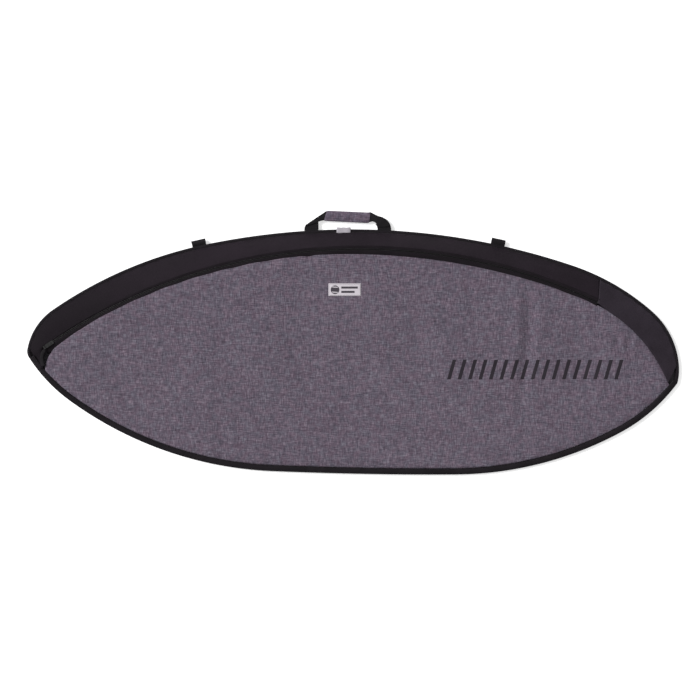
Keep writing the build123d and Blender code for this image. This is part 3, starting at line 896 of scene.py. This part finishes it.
def carry_handle():
    """Each leg comes straight out of the seam, is folded over, and runs on to the grip."""
    made = [
        web_between("handle_leg_left_root", [(-125, 316.9), (-124.6, 321), (-121, 328)],
                    [(-88.7, 316.9), (-88.7, 327), (-88.7, 335)], (8, 8.1, 8.4)),
        web_between("handle_leg_left",
                    [(-124, 322.5), (-116.8, 329.8), (-90, 348), (-68.6, 362.4), (-58, 361)],
                    [(-90, 333.5), (-88.7, 335.7), (-81, 337.2), (-73.5, 338.9), (-62, 339.5)],
                    (10.3, 11.0, 10.2, 9.0, 8.3)),
        web_between("handle_leg_right_root", [(98.3, 316.9), (96.5, 325), (92, 333)],
                    [(63.2, 316.9), (62, 322.5), (58, 329)], (8, 8.1, 8.4)),
        web_between("handle_leg_right",
                    [(97.3, 322.5), (95.5, 328.8), (88.5, 339.1), (76.6, 346.3), (62.7, 350.2),
                     (45.2, 359.6), (34, 358)],
                    [(62.5, 320.5), (61.4, 326.2), (58.8, 331), (56.8, 333.4), (49.8, 335.7), (41.6, 333.6),
                     (32, 335.5)],
                    (9.8, 10.8, 10.8, 10.4, 9.6, 8.8, 8.3)),
    ]
    for obj in made:
        dress(obj, WEBBING, body="carry_handle")
    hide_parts("handle_webbing")


def grip():
    """Cloth wrap rolled round the webbing, closed along its length by a lapped edge."""
    top_a, top_b = Vector((-67, 363.6, 8)), Vector((45, 358.6, 8))
    low_a, low_b = Vector((-75, 337, 8)), Vector((41, 331.2, 8))

    def skin(t, x, z):
        """Point at t along the grip, x across it from -1 to 1 and z mm up."""
        return top_a.lerp(top_b, t).lerp(low_a.lerp(low_b, t), 0.5 + 0.5 * x) + Vector((0, 0, z))

    rows = []
    for i in range(45):
        t = i / 44
        end = math.sqrt(min(1.0, 12 * t, 12 * (1 - t)))
        row = []
        for k in range(40):
            w = 2 * math.pi * k / 40
            x = math.copysign(abs(math.cos(w)) ** 0.8, math.cos(w))
            z = math.copysign(abs(math.sin(w)) ** 0.9, math.sin(w)) * 4.3
            groove = 1.1 * math.exp(-((x - 0.28) / 0.07) ** 2) if z > 0 else 0.0
            ripple = 0.35 * noise.noise(Vector((i / 5, k / 6, 0)))
            row.append(skin(t, x * (0.93 + 0.07 * end), (z - groove + ripple) * (0.8 + 0.2 * end)))
        rows.append(row)
    obj = grid("handle_grip_wrap", rows, closed=True)
    dress(obj, GRIP_HEATHER, body="carry_handle", replaces=("handle_grip",))
    for x, name in ((0.40, "lap"), (0.80, "edge")):
        path = [skin(0.03 + 0.94 * k / 20, x, 4.3 * (1 - x * x) ** 0.45 + 0.15) for k in range(21)]
        stitches(f"stitch_grip_{name}", path, 3.0, 2.2, 0.28, THREAD, body="carry_handle")


def strap_loop(side):
    """Webbing doubled back on itself, on a flat root that stays in the seam."""
    joint = joints[f"strap_loop_{side}_fold"]
    o, x = Vector(joint["pos_m"]) / MM, Vector(joint["axis"]).normalized()
    y = Vector((0, 0, 1)).cross(x)
    profile = [(0.6, 0.8), (1.8, 1.3), (4.4, 3.0), (8.2, 3.8), (10.6, 3.1), (12.1, 1.3), (12.4, -0.4),
               (11.4, -2.6), (8.6, -3.7), (4.4, -3.0), (1.8, -1.3), (0.6, -0.8)]
    rows = []
    for i, (out, up) in enumerate(profile):
        row = []
        for j in range(10):
            s = j / 9 - 0.5
            dip = 0.25 * math.sin(9 * s + i)
            across = x * (s * LOOP_W + 0.3 * math.sin(i))
            row.append(o + across + y * (out + dip * 0.4) + Vector((0, 0, up + dip)))
        rows.append(row)
    obj = grid(f"strap_loop_{side}_web", rows)
    sub = obj.modifiers.new("smooth", "SUBSURF")
    sub.levels = sub.render_levels = 2
    thicken(obj, 1.4, -1.0)
    root = [[o + x * (LOOP_W * (j / 10 - 0.5)) + y * out + Vector((0, 0, 0.05 * math.sin(j + out)))
             for j in range(11)] for out in (1.0, -1.0, -4.0, -8.0)]
    dress(thicken(grid(f"strap_seam_{side}", root), 2.4, 0.0), WEBBING)
    return dress(obj, WEBBING, body=f"strap_loop_{side}", replaces=(f"strap_loop_{side}",))


def anchors():
    """Sewn-in handle ends: crossed boxes of stitches inside, and webbing through the seam."""
    for side, x, y, turn in (("left", -106, 312, 1), ("right", 81, 310, -2)):
        rot = Matrix.Rotation(math.radians(turn), 3, "Z")
        rows = []
        for i in range(13):
            row = []
            for j in range(9):
                p = rot @ Vector((WEB_W * (j / 8 - 0.5), -30 + 24 * i / 12, 0))
                row.append(Vector((x + p.x, y + p.y, 6.1 + 0.1 * math.sin(i + j))))
            rows.append(row)
        obj = thicken(grid(f"handle_anchor_{side}_web", [r[::-1] for r in rows]), 1.0)
        dress(obj, WEBBING, replaces=(f"handle_anchor_{side}",))
        box = [(-15, -27), (15, -27), (15, -9), (-15, -9), (-15, -27), (15, -9), (15, -27), (-15, -9)]
        path = []
        for (xa, ya), (xb, yb) in zip(box, box[1:]):
            for k in range(6):
                p = rot @ Vector((xa + (xb - xa) * k / 6, ya + (yb - ya) * k / 6, 0))
                path.append(Vector((x + p.x, y + p.y, 6.5)))
        stitches(f"stitch_anchor_{side}", path, 3.2, 2.4, 0.3, THREAD)
    for side, left, right in (("left", -125, -88.7), ("right", 63.2, 98.3)):
        stub = web_between(f"handle_seam_{side}", [(left, y) for y in SEAM_WEB_Y],
                           [(right, y) for y in SEAM_WEB_Y], (7.2, 7.8, 8.0))
        dress(stub, WEBBING)


def pull_ribbon():
    """Ribbon tail on the pull."""
    path = [Vector((-790.6, 5.2, 24.3)), Vector((-796.0, -3.0, 24.0)), Vector((-798.3, -14, 23.2)),
            Vector((-797.5, -26, 22.3)), Vector((-794.5, -36, 21.6))]
    rows, steps = [], 24
    path = resample(path, steps)
    for k, p in enumerate(path):
        t = (path[min(steps, k + 1)] - path[max(0, k - 1)]).normalized()
        side = t.cross(Vector((0, 0, 1))).normalized()
        row = []
        for j in range(7):
            s = j / 6 - 0.5
            row.append(p + side * (s * 8.2) + Vector((0, 0, 0.4 * math.cos(3 * s))))
        rows.append(row)
    obj = thicken(grid("zip_pull_tape", rows), 1.3, 0.0)
    dress(obj, WEBBING, body="zip_pull", replaces=("zip_pull_ribbon",))


def hardware():
    """Slider, pull frame and stops keep their own solids, with softened edges."""
    for name in ("zip_slider", "zip_pull_frame", "zip_stop_nose", "zip_stop_tail"):
        obj = frame["nodes"][name]
        obj.data.materials.clear()
        obj.data.materials.append(ENAMEL)
        bevel = obj.modifiers.new("edge", "BEVEL")
        bevel.width, bevel.segments, bevel.angle_limit = 0.25 * MM, 2, math.radians(40)


# ---- floor, lights, camera --------------------------------------------------------------
FLOOR_HALF, FLOOR_Z = 14.0, -0.0005
SUN_POWER, SUN_SPREAD, SUN_AIM = 3.1, 24, (1.0, -0.45, -0.85)
SKY_POWER, FLOOR_GLOW = 0.5, 0.45
CAMERA_AT, LENS_MM, SENSOR_MM = (-0.0077, 0.0051, 5.009), 100, 36


def studio():
    mesh = bpy.data.meshes.new("floor")
    corners = ((-1, -1), (1, -1), (1, 1), (-1, 1))
    mesh.from_pydata([(x * FLOOR_HALF, y * FLOOR_HALF, FLOOR_Z) for x, y in corners], [], [(0, 1, 2, 3)])
    floor = link(mesh, "floor")
    mat, tree, shader = node_tree("pale_floor", 0.9, specular=0.1)
    shader.inputs["Base Color"].default_value = (0.93, 0.93, 0.93, 1)
    shader.inputs["Emission Color"].default_value = (1, 1, 1, 1)
    shader.inputs["Emission Strength"].default_value = FLOOR_GLOW
    mesh.materials.append(mat)
    world = bpy.data.worlds.new("studio")
    bpy.context.scene.world = world
    world.use_nodes = True
    world.node_tree.nodes["Background"].inputs["Color"].default_value = (1, 1, 1, 1)
    world.node_tree.nodes["Background"].inputs["Strength"].default_value = SKY_POWER
    sun_data = bpy.data.lights.new("key", "SUN")
    sun_data.energy, sun_data.angle = SUN_POWER, math.radians(SUN_SPREAD)
    sun = bpy.data.objects.new("key", sun_data)
    bpy.context.scene.collection.objects.link(sun)
    sun.rotation_euler = Vector(SUN_AIM).to_track_quat("-Z", "Y").to_euler()
    cam_data = bpy.data.cameras.new("camera")
    cam_data.lens, cam_data.sensor_width = LENS_MM, SENSOR_MM
    cam = bpy.data.objects.new("camera", cam_data)
    bpy.context.scene.collection.objects.link(cam)
    cam.location = CAMERA_AT
    bpy.context.scene.camera = cam
    bpy.context.scene.view_settings.view_transform = "Standard"


def build():
    face_panel()
    face_lining()
    back_panel()
    back_lining()
    binding("binding_top_tape", resample(whole_top(), 760), BIND_TOP, BIND_TOP_H, flat_lip,
            BINDING, "binding_top", 1)
    binding("binding_low_tape", resample(low_edge(), 700), BIND_LOW, BIND_LOW_H - 1.4, low_lip,
            BINDING, "binding_bottom", -1)
    gusset_zip_band()
    gusset_tail_band()
    zip_tape("zip_tape_outer", 2.6, 9.5, ("zip_tape_gusset",), False)
    zip_tape("zip_tape_inner", -2.6, -20.0, ("zip_tape_flap", "zip_tape_nose_end", "zip_tape_tail_end"), True)
    coil_row("zip_coil_outer", 1, ("zip_coil_gusset",), False)
    coil_row("zip_coil_inner", -1, ("zip_coil_flap", "zip_coil_nose_end", "zip_coil_tail_end"), True)
    nose_return()
    all_stitches()
    label()
    printed_bars()
    seam_tag()
    carry_handle()
    grip()
    strap_loop("left")
    strap_loop("right")
    anchors()
    pull_ribbon()
    hardware()


studio()
build()
